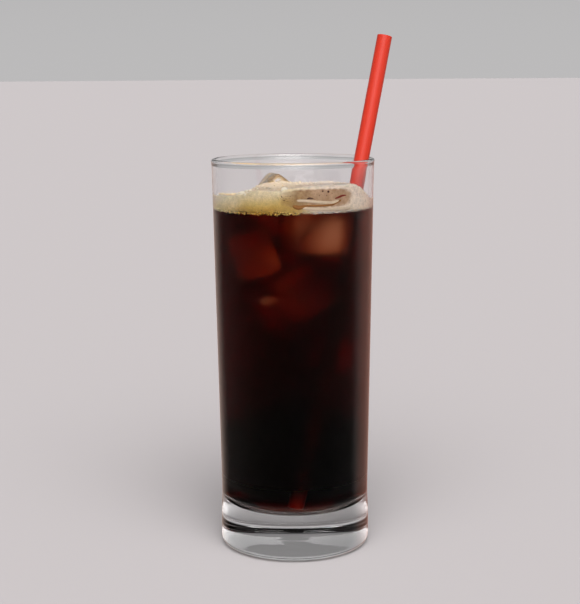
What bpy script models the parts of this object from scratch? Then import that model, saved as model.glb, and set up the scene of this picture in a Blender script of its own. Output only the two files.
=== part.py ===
"""Iced black coffee in a tall straight tumbler.

A thick-based clear glass holds black coffee under a layer of tan foam. Two ice cubes break the
surface, one up against the front of the glass and one whose top edge stands clear of the foam,
and a plain straw leans from the front of the floor to the right of the rim.

Metres, +Z up. The origin is the centre of the flat underside of the glass. The front is at -Y.
"""
import math

import bmesh
import bpy
from mathutils import Matrix, Vector

# Room left between two pieces that touch
GAP = 0.0003

# Edges sharper than this stay crisp on the glass and the straw (degrees)
CRISP_ANGLE = 40.0

# Glass
GLASS_HEIGHT = 0.160
RIM_RADIUS = 0.0330
BEAD_RADIUS = 0.00098
OUTER_TOP_RADIUS = 0.03285
OUTER_NECK_RADIUS = 0.0304
OUTER_NECK_Z = 0.024
BASE_BULGE_RADIUS = 0.03075
BASE_BULGE_Z = 0.009
HEEL_RADIUS = 0.003
INNER_TOP_RADIUS = 0.03105
INNER_LOW_RADIUS = 0.0280
FLOOR_Z = 0.0171
FLOOR_CORNER_RADIUS = 0.0105
WALL_RING_Z = 0.105
SWELL_RINGS = 3
CORNER_STEPS = 7
BEAD_STEPS = 10
HEEL_STEPS = 4
GLASS_SEGMENTS = 64

# Drink
COFFEE_LEVEL = 0.1410

# Foam: its depth at the wall, and how it swells over each cube (height, half widths, place).
# Over the right cube the widths and the place run across and outwards, over the left in X and Y.
# The bank is where it clings to the wall at the front left (height, azimuth, half width, power).
FOAM_WALL_DEPTH = 0.0032
SWELL_RIGHT = (0.0069, (0.0160, 0.0145), (0.0010, 0.0210))
SWELL_LEFT = (0.0066, (0.0125, 0.0220), (-0.0060, -0.0080))
BANK = (0.0020, -35.0, 75.0, 3)
LUMP_HEIGHT = 0.00022
LUMP_LENGTH = 0.0125
FOAM_RINGS = 12

# Ice: half sizes, centre, and turns about X, Y and Z in degrees
ICE_SQUARENESS = 6.0
ICE_MELT = 0.014
ICE_CUTS = 7
ICE_RIGHT_HALF = (0.0110, 0.0085, 0.0132)
ICE_RIGHT_AZIMUTH = 29.0
ICE_RIGHT_REACH = 0.0199
ICE_RIGHT_Z = 0.1359
ICE_RIGHT_TURN = (0.0, 6.0, 29.0)
ICE_LEFT_HALF = (0.0122, 0.0113, 0.0093)
ICE_LEFT_CENTRE = (-0.0051, 0.0066, 0.1401)
ICE_LEFT_TURN = (-4.5, 42.1, 7.9)

# Window in the foam, where the front of the right cube shows through the glass
WINDOW_HALF = (0.0104, 0.0050, 0.0031)
WINDOW_REACH = 0.0305
WINDOW_Z = 0.1463

# Straw: the centre of its foot and the point where its axis passes the rim
STRAW_RADIUS = 0.0030
STRAW_WALL = 0.0003
STRAW_LENGTH = 0.1935
STRAW_FOOT = (0.00025, -0.0215, 0.0205)
STRAW_AT_RIM = (0.02778, -0.0010, 0.160)
STRAW_SEGMENTS = 24

# Colours and surfaces: base colour, roughness, transmission, index of refraction
CLEAR_GLASS = ((0.92, 0.93, 0.94), 0.03, 1.0, 1.52)
CLEAR_ICE = ((0.80, 0.82, 0.84), 0.08, 0.9, 1.31)
BLACK_COFFEE = ((0.035, 0.012, 0.006), 0.10, 0.0, 1.33)
TAN_FOAM = ((0.52, 0.37, 0.20), 0.70, 0.0, 1.33)
RED_PLASTIC = ((0.66, 0.06, 0.04), 0.30, 0.0, 1.45)


def clear_scene():
    for old in list(bpy.data.objects):
        bpy.data.objects.remove(old, do_unlink=True)


def new_collection(name):
    group = bpy.data.collections.new(name)
    bpy.context.scene.collection.children.link(group)
    return group


def principled(name, surface):
    """One Principled material in a piece's own colour."""
    colour, roughness, transmission, ior = surface
    material = bpy.data.materials.new(name)
    material.use_nodes = True
    shader = material.node_tree.nodes["Principled BSDF"]
    shader.inputs["Base Color"].default_value = (*colour, 1.0)
    shader.inputs["Roughness"].default_value = roughness
    shader.inputs["Metallic"].default_value = 0.0
    shader.inputs["Transmission Weight"].default_value = transmission
    shader.inputs["IOR"].default_value = ior
    material.diffuse_color = (*colour, 1.0)
    return material


def arc(centre_r, centre_z, radius, start, end, steps):
    """Points on an arc of a turned profile; angles in degrees, 0 points outwards and 90 up."""
    points = []
    for step in range(steps + 1):
        angle = math.radians(start + (end - start) * step / steps)
        points.append((centre_r + radius * math.cos(angle), centre_z + radius * math.sin(angle)))
    return points


def turned(name, profile, segments, group, closed=False):
    """A profile of (radius, height) points, turned round Z by a Screw modifier."""
    mesh = bpy.data.meshes.new(name)
    edges = [(i, i + 1) for i in range(len(profile) - 1)]
    if closed:
        edges.append((len(profile) - 1, 0))
    mesh.from_pydata([(r, 0.0, z) for r, z in profile], edges, [])
    piece = bpy.data.objects.new(name, mesh)
    group.objects.link(piece)
    screw = piece.modifiers.new("Turn", "SCREW")
    screw.steps = segments
    screw.render_steps = segments
    screw.use_merge_vertices = True
    screw.merge_threshold = 0.00001
    screw.use_smooth_shade = True
    return piece


def apply_modifiers(piece):
    """Replace a piece's mesh by its evaluated one."""
    graph = bpy.context.evaluated_depsgraph_get()
    finished = bpy.data.meshes.new_from_object(piece.evaluated_get(graph))
    piece.modifiers.clear()
    piece.data = finished


def hide_cutter(piece):
    piece.hide_render = True
    piece.display_type = "WIRE"


def cut(piece, cutters):
    """Take each cutter out of a piece with an exact Boolean."""
    for cutter in cutters:
        boolean = piece.modifiers.new("Cut " + cutter.name, "BOOLEAN")
        boolean.operation = "DIFFERENCE"
        boolean.object = cutter


def inner_radius(z):
    """Radius of the inside of the glass on its straight stretch."""
    low_z = FLOOR_Z + FLOOR_CORNER_RADIUS
    share = (z - low_z) / (GLASS_HEIGHT - low_z)
    return INNER_LOW_RADIUS + (INNER_TOP_RADIUS - INNER_LOW_RADIUS) * share


def outer_radius(z):
    """Radius of the outside: straight above the neck, swelling gently over the thick base."""
    if z >= OUTER_NECK_Z:
        share = (z - OUTER_NECK_Z) / (GLASS_HEIGHT - OUTER_NECK_Z)
        return OUTER_NECK_RADIUS + (OUTER_TOP_RADIUS - OUTER_NECK_RADIUS) * share
    share = min(1.0, (OUTER_NECK_Z - z) / (OUTER_NECK_Z - BASE_BULGE_Z))
    swell = 0.5 - 0.5 * math.cos(math.pi * share)
    return OUTER_NECK_RADIUS + (BASE_BULGE_RADIUS - OUTER_NECK_RADIUS) * swell


def inside_profile(clearance, top_z):
    """The inside of the glass, moved in by a clearance, from the middle of the floor up."""
    corner_radius = FLOOR_CORNER_RADIUS - clearance
    centre_r = INNER_LOW_RADIUS - FLOOR_CORNER_RADIUS
    centre_z = FLOOR_Z + FLOOR_CORNER_RADIUS
    points = [(0.0, centre_z - corner_radius)]
    points += arc(centre_r, centre_z, corner_radius, -90, 0, CORNER_STEPS)
    points.append((inner_radius(top_z) - clearance, top_z))
    return points


def glass_profile():
    """Up the inside, over the rounded bead of the rim, and down the outside to the middle."""
    bead_r = RIM_RADIUS - BEAD_RADIUS
    bead_z = GLASS_HEIGHT - BEAD_RADIUS
    half_wall = (OUTER_TOP_RADIUS - INNER_TOP_RADIUS) / 2
    tuck = math.degrees(math.acos(half_wall / BEAD_RADIUS))
    bead = arc(bead_r, bead_z, BEAD_RADIUS, 180 + tuck, -tuck, BEAD_STEPS)
    points = inside_profile(0.0, WALL_RING_Z) + bead
    points.append((outer_radius(WALL_RING_Z), WALL_RING_Z))
    for ring in range(SWELL_RINGS + 2):
        z = OUTER_NECK_Z + (BASE_BULGE_Z - OUTER_NECK_Z) * ring / (SWELL_RINGS + 1)
        points.append((outer_radius(z), z))
    heel_r = BASE_BULGE_RADIUS - HEEL_RADIUS
    points += arc(heel_r, HEEL_RADIUS, HEEL_RADIUS, 0, -90, HEEL_STEPS)
    points.append((0.0, 0.0))
    return points


def make_glass(group):
    glass = turned("glass", glass_profile(), GLASS_SEGMENTS, group)
    apply_modifiers(glass)
    glass.data.set_sharp_from_angle(angle=math.radians(CRISP_ANGLE))
    glass.data.materials.append(principled("clear glass", CLEAR_GLASS))


def worn_cube_point(x, y, z):
    """Draws a point of the unit cube onto a superellipsoid, with shallow melted hollows."""
    power = abs(x) ** ICE_SQUARENESS + abs(y) ** ICE_SQUARENESS + abs(z) ** ICE_SQUARENESS
    reach = power ** (-1.0 / ICE_SQUARENESS)
    hollow = math.sin(3.1 * x + 1.3) * math.cos(2.3 * y + 1.7 * z - 0.6)
    return Vector((x, y, z)) * reach * (1.0 + ICE_MELT * hollow)


def ice_block(name, half, centre, turn, group, grow=0.0):
    """A worn ice cube of the given half sizes, grown by a clearance where it is a cutter."""
    shape = bmesh.new()
    bmesh.ops.create_cube(shape, size=2.0)
    bmesh.ops.subdivide_edges(shape, edges=shape.edges[:], cuts=ICE_CUTS, use_grid_fill=True)
    for vert in shape.verts:
        worn = worn_cube_point(*vert.co)
        vert.co = [along * (size + grow) for along, size in zip(worn, half)]
    mesh = bpy.data.meshes.new(name)
    shape.to_mesh(mesh)
    shape.free()
    for polygon in mesh.polygons:
        polygon.use_smooth = True
    x_turn, y_turn, z_turn = (math.radians(angle) for angle in turn)
    turned_by = Matrix.Rotation(z_turn, 4, "Z") @ Matrix.Rotation(y_turn, 4, "Y")
    turned_by = turned_by @ Matrix.Rotation(x_turn, 4, "X")
    block = bpy.data.objects.new(name, mesh)
    block.matrix_world = Matrix.Translation(centre) @ turned_by
    group.objects.link(block)
    return block


def round_the_axis(reach, azimuth, z):
    """A place at a distance from the axis; azimuth 0 is the front, and positive is to the right."""
    angle = math.radians(azimuth)
    return (reach * math.sin(angle), -reach * math.cos(angle), z)


def make_ice(group, cutters):
    """Both cubes, and a slightly larger copy of each that cuts its bed in the drink."""
    right_centre = round_the_axis(ICE_RIGHT_REACH, ICE_RIGHT_AZIMUTH, ICE_RIGHT_Z)
    cubes = (
        ("ice_left", ICE_LEFT_HALF, ICE_LEFT_CENTRE, ICE_LEFT_TURN),
        ("ice_right", ICE_RIGHT_HALF, right_centre, ICE_RIGHT_TURN),
    )
    beds = []
    for name, half, centre, turn in cubes:
        cube = ice_block(name, half, centre, turn, group)
        cube.data.materials.append(principled(name + " ice", CLEAR_ICE))
        bed = ice_block(name + "_bed", half, centre, turn, cutters, grow=GAP)
        hide_cutter(bed)
        beds.append(bed)
    return beds


def window_cutter(cutters):
    """A rounded block through the foam between the right cube and the wall."""
    centre = round_the_axis(WINDOW_REACH, ICE_RIGHT_AZIMUTH, WINDOW_Z)
    window = ice_block("window", WINDOW_HALF, centre, (0.0, 0.0, ICE_RIGHT_AZIMUTH), cutters)
    hide_cutter(window)
    return window


def straw_matrix():
    """Puts a tube that stands on the origin at the straw's foot, along the straw's axis."""
    foot = Vector(STRAW_FOOT)
    axis = (Vector(STRAW_AT_RIM) - foot).normalized()
    lean = Vector((0.0, 0.0, 1.0)).rotation_difference(axis).to_matrix().to_4x4()
    return Matrix.Translation(foot) @ lean


def straw_tube(name, inner, outer, low, group):
    """A tube, or a rod where the inner radius is zero, that stands on the straw's foot."""
    profile = [(inner, STRAW_LENGTH), (outer, STRAW_LENGTH), (outer, low), (inner, low)]
    piece = turned(name, profile, STRAW_SEGMENTS, group, closed=inner > 0.0)
    apply_modifiers(piece)
    piece.matrix_world = straw_matrix()
    return piece


def make_straw(group, cutters):
    """The straw, with a tube that makes room for its wall and a rod that clears its whole way."""
    bore = STRAW_RADIUS - STRAW_WALL
    straw = straw_tube("straw", bore, STRAW_RADIUS, 0.0, group)
    straw.data.set_sharp_from_angle(angle=math.radians(CRISP_ANGLE))
    straw.data.materials.append(principled("red straw", RED_PLASTIC))
    wall_room = straw_tube("straw_wall_room", bore - GAP, STRAW_RADIUS + GAP, -GAP, cutters)
    whole_room = straw_tube("straw_room", 0.0, STRAW_RADIUS + GAP, -GAP, cutters)
    hide_cutter(wall_room)
    hide_cutter(whole_room)
    return wall_room, whole_room


def make_coffee(group, beds, straw_wall_room):
    """The coffee fills the glass to its level, also inside the straw, and beds the ice."""
    profile = [(0.0, COFFEE_LEVEL)] + list(reversed(inside_profile(GAP, COFFEE_LEVEL)))
    coffee = turned("coffee", profile, GLASS_SEGMENTS, group)
    apply_modifiers(coffee)
    coffee.data.materials.append(principled("black coffee", BLACK_COFFEE))
    cut(coffee, [*beds, straw_wall_room])
    apply_modifiers(coffee)


def swell(along, across, form, power):
    """How much of a swelling's height stands at a place: 1 in its middle, falling to 0."""
    _, (half_along, half_across), (mid_along, mid_across) = form
    fall = abs((along - mid_along) / half_along) ** power
    fall += abs((across - mid_across) / half_across) ** power
    return math.exp(-fall)


def bank(x, y):
    """How much higher the foam stands close to the wall at the front left."""
    height, azimuth, half_width, power = BANK
    away = abs((math.degrees(math.atan2(x, -y)) - azimuth + 180.0) % 360.0 - 180.0)
    near_wall = min(1.0, math.hypot(x, y) / inner_radius(COFFEE_LEVEL)) ** power
    return height * near_wall * math.exp(-((away / half_width) ** 4))


def foam_top(x, y):
    """Height of the foam: a layer that swells over the two cubes, with a slightly lumpy skin."""
    angle = math.radians(ICE_RIGHT_AZIMUTH)
    across = x * math.cos(angle) + y * math.sin(angle)
    outward = x * math.sin(angle) - y * math.cos(angle)
    over_right = swell(across, outward, SWELL_RIGHT, 6)
    clear_of_right = 1.0 - over_right
    turn = math.tau / LUMP_LENGTH
    lumps = LUMP_HEIGHT * math.sin(turn * x + 1.1) * math.sin(0.9 * turn * y + 0.4)
    raised = SWELL_RIGHT[0] * over_right
    raised += (SWELL_LEFT[0] * swell(x, y, SWELL_LEFT, 3) + bank(x, y)) * clear_of_right
    return COFFEE_LEVEL + FOAM_WALL_DEPTH + raised + lumps


def make_foam(group, beds, straw_room):
    """A turned disc whose top is drawn up to the foam's height, then cut round ice and straw."""
    low = COFFEE_LEVEL + GAP
    high = low + FOAM_WALL_DEPTH
    edge = inner_radius(low) - GAP
    profile = [(edge * ring / FOAM_RINGS, high) for ring in range(FOAM_RINGS + 1)]
    profile += [(edge, low), (0.0, low)]
    foam = turned("foam", profile, GLASS_SEGMENTS, group)
    apply_modifiers(foam)
    for vert in foam.data.vertices:
        if vert.co.z > low + FOAM_WALL_DEPTH / 2:
            x, y = vert.co.x, vert.co.y
            vert.co.z = foam_top(x, y)
            if math.hypot(x, y) > edge - GAP:
                spread = (inner_radius(vert.co.z) - GAP) / edge
                vert.co.x, vert.co.y = x * spread, y * spread
    foam.data.materials.append(principled("tan foam", TAN_FOAM))
    cut(foam, [*beds, straw_room])
    apply_modifiers(foam)


def main():
    clear_scene()
    drink = new_collection("iced_black_coffee")
    cutters = new_collection("cutters")
    make_glass(drink)
    beds = make_ice(drink, cutters)
    straw_wall_room, straw_room = make_straw(drink, cutters)
    make_coffee(drink, beds, straw_wall_room)
    make_foam(drink, [*beds, window_cutter(cutters)], straw_room)


main()
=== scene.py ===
# %% [markdown]
# # Iced black coffee in a tall glass
# A thick-based tumbler holds black coffee under tan foam. Two ice cubes break the surface, more are
# sunk below, and a red straw leans on the rim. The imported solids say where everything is. This lesson
# gives each of them its fine shape and its finish, in metres, with the front at -Y.

# %% The fixed frame
import math
import random

import bmesh
import bpy
import numpy as np
from mathutils import Matrix, Vector, noise
from mathutils.bvhtree import BVHTree


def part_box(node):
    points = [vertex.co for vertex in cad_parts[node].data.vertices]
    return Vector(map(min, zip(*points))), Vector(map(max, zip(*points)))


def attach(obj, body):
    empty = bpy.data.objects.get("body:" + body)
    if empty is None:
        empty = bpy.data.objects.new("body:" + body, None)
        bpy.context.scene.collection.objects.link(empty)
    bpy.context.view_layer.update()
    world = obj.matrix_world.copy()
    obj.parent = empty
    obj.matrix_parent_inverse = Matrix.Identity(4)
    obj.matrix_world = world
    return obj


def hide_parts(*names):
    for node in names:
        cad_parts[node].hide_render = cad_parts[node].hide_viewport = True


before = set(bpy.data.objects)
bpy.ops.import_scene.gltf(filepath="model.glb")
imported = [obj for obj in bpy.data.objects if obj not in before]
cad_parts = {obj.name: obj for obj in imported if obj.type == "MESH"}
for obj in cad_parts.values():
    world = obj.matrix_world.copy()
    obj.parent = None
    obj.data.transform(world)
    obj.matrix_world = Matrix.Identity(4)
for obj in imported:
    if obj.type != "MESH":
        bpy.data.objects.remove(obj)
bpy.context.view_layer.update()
MM = 0.001
print("solids:", sorted(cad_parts))

# %% [markdown]
# The camera comes first, because it settles how large every detail will be seen. Its place and its
# lens were worked out from the rim, the sides and the foot of the glass. It looks slightly down, so
# the rim shows as a flat ellipse, and it is rolled by a third of a degree as a hand-held camera is.

# %% Camera
IMAGE_WIDTH = 580
IMAGE_HEIGHT = 604
FOCAL_PIXELS = 1390.8
SENSOR = 36.0
CAMERA_PLACE = (-0.0015, -0.5636, 0.1949)
CAMERA_PITCH_DOWN = 9.452
CAMERA_ROLL = -0.379


def new_object(name, data):
    """Puts a mesh or a camera into the scene."""
    placed = bpy.data.objects.new(name, data)
    bpy.context.scene.collection.objects.link(placed)
    return placed


camera_data = bpy.data.cameras.new("camera")
camera_data.sensor_width = SENSOR
camera_data.lens = FOCAL_PIXELS * SENSOR / max(IMAGE_WIDTH, IMAGE_HEIGHT)
camera = new_object("camera", camera_data)
tilt = Matrix.Rotation(math.radians(90.0 - CAMERA_PITCH_DOWN), 4, "X")
roll = Matrix.Rotation(math.radians(CAMERA_ROLL), 4, "Z")
camera.matrix_world = Matrix.Translation(CAMERA_PLACE) @ tilt @ roll
bpy.context.scene.camera = camera
print(f"lens {camera_data.lens:.1f} mm")

# %% [markdown]
# Materials are node trees. A small helper adds a node, sets its values and links its inputs, so that
# each finish below reads as a list of what it is made of.

# %% Node helpers
def feed(socket, value):
    """Links an input to another node, by its first output or a given one, or sets a plain value."""
    if isinstance(value, bpy.types.Node):
        value = value.outputs[0]
    if isinstance(value, bpy.types.NodeSocket):
        socket.id_data.links.new(value, socket)
    elif socket.type == "RGBA":
        socket.default_value = (*value, 1.0)
    else:
        socket.default_value = value


def add_node(tree, kind, settings=None, **inputs):
    """Adds a node. Settings are its properties; an input goes by its name, or by number as in i0."""
    node = tree.nodes.new(kind)
    for key, value in (settings or {}).items():
        setattr(node, key, value)
    for key, value in inputs.items():
        by_number = key[0] == "i" and key[1:].isdigit()
        feed(node.inputs[int(key[1:]) if by_number else key.replace("_", " ")], value)
    return node


def new_material(name):
    material = bpy.data.materials.new(name)
    material.use_nodes = True
    return material, material.node_tree, material.node_tree.nodes["Principled BSDF"]


def set_shader(shader, **inputs):
    for key, value in inputs.items():
        feed(shader.inputs[key.replace("_", " ")], value)


# %% [markdown]
# Most pieces start as a bmesh, which is Blender's workbench for points and faces, and end as a mesh
# on an object that sits at the origin. The floor is the first. It is a wide pale disc that stays a
# hair below the glass, and it is left out of mirror reflections, which would veil the dark coffee.

# %% Floor
FLOOR_RADIUS = 30.0
FLOOR_DROP = 0.0003
FLOOR_COLOUR = (0.42, 0.397, 0.399)


def as_mesh(shape, name):
    """Turns a finished bmesh into a mesh and frees it."""
    mesh = bpy.data.meshes.new(name)
    shape.to_mesh(mesh)
    shape.free()
    return mesh


floor_shape = bmesh.new()
bmesh.ops.create_circle(floor_shape, cap_ends=True, segments=96, radius=FLOOR_RADIUS)
bmesh.ops.translate(floor_shape, verts=floor_shape.verts[:], vec=(0.0, 0.0, -FLOOR_DROP))
floor = new_object("floor", as_mesh(floor_shape, "floor"))
floor_material, _, floor_shader = new_material("pale floor")
set_shader(floor_shader, Base_Color=FLOOR_COLOUR, Roughness=0.7, Specular_IOR_Level=0.0)
floor.data.materials.append(floor_material)
floor.visible_glossy = False
print("floor", 2 * FLOOR_RADIUS, "m across")

# %% [markdown]
# The light and the colours are worked out inside their node trees. Each of these helpers adds one
# node, which takes one step: a sum, a smooth change from 0 to 1, or a mix of two colours.

# %% Steps inside a node tree
def split(tree, place):
    """The three parts of a place or a direction."""
    return add_node(tree, "ShaderNodeSeparateXYZ", Vector=place).outputs


def maths(tree, operation, first, second=0.0, third=0.0):
    """One Math node; its operands are numbers or sockets."""
    node = add_node(tree, "ShaderNodeMath", {"operation": operation}, i0=first, i1=second, i2=third)
    return node.outputs[0]


def rescale(tree, value, low, high, to_low=0.0, to_high=1.0, kind="LINEAR"):
    """Goes from to_low to to_high as the value goes from low to high, which may be the lower one."""
    return add_node(tree, "ShaderNodeMapRange", {"interpolation_type": kind}, Value=value, From_Min=low,
                    From_Max=high, To_Min=to_low, To_Max=to_high).outputs[0]


def smooth_step(tree, value, low, high):
    return rescale(tree, value, low, high, kind="SMOOTHSTEP")


def blend(tree, share, first, second, kind="MIX"):
    """A colour between two, or their product; each is a colour or a socket."""
    return add_node(tree, "ShaderNodeMix", {"data_type": "RGBA", "blend_type": kind}, i0=share, i6=first,
                    i7=second).outputs[2]


# %% [markdown]
# A glass shows what stands round it, so the dome of light matters more than any lamp. It is dim at
# the horizon, and has one broad bright patch high up in front, which lights the foam and throws the
# shadow of the glass straight back, out of sight. Low down it is dark in front, so that the coffee
# isn't veiled, and warm at the back, where the thick edges of the glass mirror it.

# %% Studio light
DOME_TINT = (1.0, 0.985, 0.99)
DOME_HORIZON = 0.50
DOME_TOP = 0.22
DOME_FADE = 0.35
KEY_DIRECTION = (0.06, -0.72, 0.68)
KEY_LEVEL = 10.0
KEY_FOCUS = 9.0
LOW_DARK = 0.02
LOW_BACK = 0.48
LOW_RIGHT_TINT = (1.0, 0.50, 0.40)
LOW_LEFT_TINT = (1.0, 0.74, 0.64)

world = bpy.data.worlds.new("studio")
bpy.context.scene.world = world
world.use_nodes = True
sky = world.node_tree
direction = add_node(sky, "ShaderNodeTexCoord").outputs["Generated"]
to_right, to_back, to_top = split(sky, direction)
towards_key = add_node(sky, "ShaderNodeVectorMath", {"operation": "DOT_PRODUCT"}, i0=direction,
                       i1=Vector(KEY_DIRECTION).normalized()).outputs["Value"]
patch = maths(sky, "POWER", maths(sky, "MAXIMUM", towards_key, 0.0), KEY_FOCUS)
fade = smooth_step(sky, to_top, 0.0, DOME_FADE)
upper = maths(sky, "MULTIPLY_ADD", fade, DOME_TOP - DOME_HORIZON, DOME_HORIZON)
upper = maths(sky, "MULTIPLY_ADD", patch, KEY_LEVEL, upper)
behind = smooth_step(sky, to_back, 0.50, 0.95)
behind_right = maths(sky, "MULTIPLY", smooth_step(sky, to_back, 0.10, 0.55),
                     smooth_step(sky, to_right, 0.0, 0.3))
lower = maths(sky, "MULTIPLY_ADD", maths(sky, "MAXIMUM", behind, behind_right), LOW_BACK, LOW_DARK)
above = rescale(sky, to_top, -0.03, -0.01)
below = maths(sky, "SUBTRACT", 1.0, above)
strength = add_node(sky, "ShaderNodeMix", i0=above, i2=lower, i3=upper).outputs[0]
tint = blend(sky, maths(sky, "MULTIPLY", behind_right, below), DOME_TINT, LOW_RIGHT_TINT)
warm_left = maths(sky, "MULTIPLY", smooth_step(sky, to_right, 0.05, -0.15), below)
tint = blend(sky, warm_left, tint, LOW_LEFT_TINT)
set_shader(sky.nodes["Background"], Color=tint, Strength=strength)

bpy.context.scene.view_settings.view_transform = "Standard"
bpy.context.scene.cycles.max_bounces = 32
bpy.context.scene.cycles.transmission_bounces = 32
print("nodes in the sky:", len(sky.nodes))

# %% [markdown]
# The glass is turned: one outline, swung round the axis. The tree below does what a lathe does. It
# sweeps the outline along a circle and merges the points that meet on the axis. A tree is run by
# putting it on an object as a modifier, and its result is then taken as a plain mesh.

# %% Lathe
LATHE_RING = 0.020
SHARP_ANGLE = math.radians(25.0)
MERGE_WITHIN = 0.000005


def new_tree(name, **sockets):
    """A Geometry Nodes tree with a geometry input and named inputs."""
    tree = bpy.data.node_groups.new(name, "GeometryNodeTree")
    for way in ("INPUT", "OUTPUT"):
        tree.interface.new_socket("Geometry", in_out=way, socket_type="NodeSocketGeometry")
    for key, kind in sockets.items():
        tree.interface.new_socket(key.replace("_", " "), in_out="INPUT", socket_type="NodeSocket" + kind)
    return tree, tree.nodes.new("NodeGroupInput").outputs, tree.nodes.new("NodeGroupOutput")


def end_tree(tree, end, mesh, material):
    """Every tree ends alike: smooth faces, and a material on them."""
    smooth = add_node(tree, "GeometryNodeSetShadeSmooth", Geometry=mesh)
    dressed = add_node(tree, "GeometryNodeSetMaterial", Geometry=smooth, Material=material)
    feed(end.inputs["Geometry"], dressed)


def grow(name, base_mesh, tree, **values):
    """Runs a Geometry Nodes tree on a mesh and returns the result as a new object with a plain mesh."""
    piece = new_object(name, base_mesh)
    modifier = piece.modifiers.new("nodes", "NODES")
    modifier.node_group = tree
    sockets = {s.name: s.identifier for s in tree.interface.items_tree if s.in_out == "INPUT"}
    for key, value in values.items():
        modifier[sockets[key.replace("_", " ")]] = value
    take_result(piece)
    piece.data.name = name
    piece.data.set_sharp_from_angle(angle=SHARP_ANGLE)
    return piece


def take_result(piece):
    """Makes what the modifiers show the piece's own plain mesh."""
    graph = bpy.context.evaluated_depsgraph_get()
    finished = bpy.data.meshes.new_from_object(piece.evaluated_get(graph))
    piece.modifiers.clear()
    piece.data = finished


lathe, given, lathe_end = new_tree("lathe", Segments="Int", Material="Material")
outline = add_node(lathe, "GeometryNodeMeshToCurve", Mesh=given["Geometry"])
circle = add_node(lathe, "GeometryNodeCurvePrimitiveCircle", Resolution=given["Segments"], Radius=LATHE_RING)
swept = add_node(lathe, "GeometryNodeCurveToMesh", Curve=circle, Profile_Curve=outline)
closed = add_node(lathe, "GeometryNodeMergeByDistance", Geometry=swept, Distance=MERGE_WITHIN)
end_tree(lathe, lathe_end, closed, given["Material"])


def turned(name, profile, segments, material):
    """Turns an outline of (radius, height) points. Its faces point to the left of the way it runs."""
    outline_mesh = bpy.data.meshes.new(name + "_outline")
    points = [(radius - LATHE_RING, -height, 0.0) for radius, height in profile]
    outline_mesh.from_pydata(points, [(i, i + 1) for i in range(len(points) - 1)], [])
    return grow(name, outline_mesh, lathe, Segments=segments, Material=material)


def arc(centre_r, centre_z, radius, start, end, steps):
    """Points on an arc of an outline; angles in degrees, 0 points outwards and 90 up."""
    points = []
    for step in range(steps + 1):
        angle = math.radians(start + (end - start) * step / steps)
        points.append((centre_r + radius * math.cos(angle), centre_z + radius * math.sin(angle)))
    return points


# %% [markdown]
# Real tumblers of this kind are pressed: the outside swells a little over the thick base, and the
# foot is drawn in to a rounded heel. The outline runs up the inside, over the bead of the rim and
# down the outside. Its dimensions are the solid's own, so the turned shape lies on it, only with
# many more steps round and along the curves.

# %% Glass outline
GLASS_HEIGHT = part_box("glass")[1].z
RIM_RADIUS = 0.0330
BEAD_RADIUS = 0.00098
OUTER_TOP_RADIUS = 0.03285
OUTER_NECK_RADIUS = 0.0304
OUTER_NECK_Z = 0.024
BASE_BULGE_RADIUS = 0.03075
BASE_BULGE_Z = 0.009
HEEL_RADIUS = 0.003
INNER_TOP_RADIUS = 0.03105
INNER_LOW_RADIUS = 0.0280
FLOOR_Z = 0.0171
FLOOR_CORNER_RADIUS = 0.0105
FLAT_STEPS = 6
COFFEE_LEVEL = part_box("coffee")[1].z


def inner_radius(z):
    """Radius of the inside of the glass above its rounded floor corner."""
    low_z = FLOOR_Z + FLOOR_CORNER_RADIUS
    share = (z - low_z) / (GLASS_HEIGHT - low_z)
    return INNER_LOW_RADIUS + (INNER_TOP_RADIUS - INNER_LOW_RADIUS) * share


def outer_radius(z):
    """Radius of the outside: straight above the neck, swelling gently over the thick base."""
    if z >= OUTER_NECK_Z:
        share = (z - OUTER_NECK_Z) / (GLASS_HEIGHT - OUTER_NECK_Z)
        return OUTER_NECK_RADIUS + (OUTER_TOP_RADIUS - OUTER_NECK_RADIUS) * share
    share = min(1.0, (OUTER_NECK_Z - z) / (OUTER_NECK_Z - BASE_BULGE_Z))
    swell = 0.5 - 0.5 * math.cos(math.pi * share)
    return OUTER_NECK_RADIUS + (BASE_BULGE_RADIUS - OUTER_NECK_RADIUS) * swell


def inside_outline(clearance, top_z):
    """The inside of the glass, moved in by a clearance, from the middle of the floor up."""
    corner = FLOOR_CORNER_RADIUS - clearance
    centre_r = INNER_LOW_RADIUS - FLOOR_CORNER_RADIUS
    centre_z = FLOOR_Z + FLOOR_CORNER_RADIUS
    points = [(centre_r * step / FLAT_STEPS, centre_z - corner) for step in range(FLAT_STEPS)]
    points += arc(centre_r, centre_z, corner, -90, 0, 24)
    points.append((inner_radius(top_z) - clearance, top_z))
    return points


def glass_outline():
    bead_r = RIM_RADIUS - BEAD_RADIUS
    bead_z = GLASS_HEIGHT - BEAD_RADIUS
    under_bead = GLASS_HEIGHT - 3 * BEAD_RADIUS
    half_wall = (OUTER_TOP_RADIUS - INNER_TOP_RADIUS) / 2
    tuck = math.degrees(math.acos(half_wall / BEAD_RADIUS))
    points = inside_outline(0.0, COFFEE_LEVEL)
    points += [(inner_radius(z), float(z)) for z in np.linspace(COFFEE_LEVEL, under_bead, 4)[1:]]
    points += arc(bead_r, bead_z, BEAD_RADIUS, 180 + tuck, -tuck, 24)
    points += [(outer_radius(z), float(z)) for z in np.linspace(under_bead, OUTER_NECK_Z, 6)]
    points += [(outer_radius(z), float(z)) for z in np.linspace(OUTER_NECK_Z, BASE_BULGE_Z, 14)[1:]]
    heel_r = BASE_BULGE_RADIUS - HEEL_RADIUS
    points.append((BASE_BULGE_RADIUS, 0.5 * (BASE_BULGE_Z + HEEL_RADIUS)))
    points += arc(heel_r, HEEL_RADIUS, HEEL_RADIUS, 0, -90, 14)
    points += [(heel_r * (1 - step / FLAT_STEPS), 0.0) for step in range(1, FLAT_STEPS + 1)]
    return points


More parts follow.
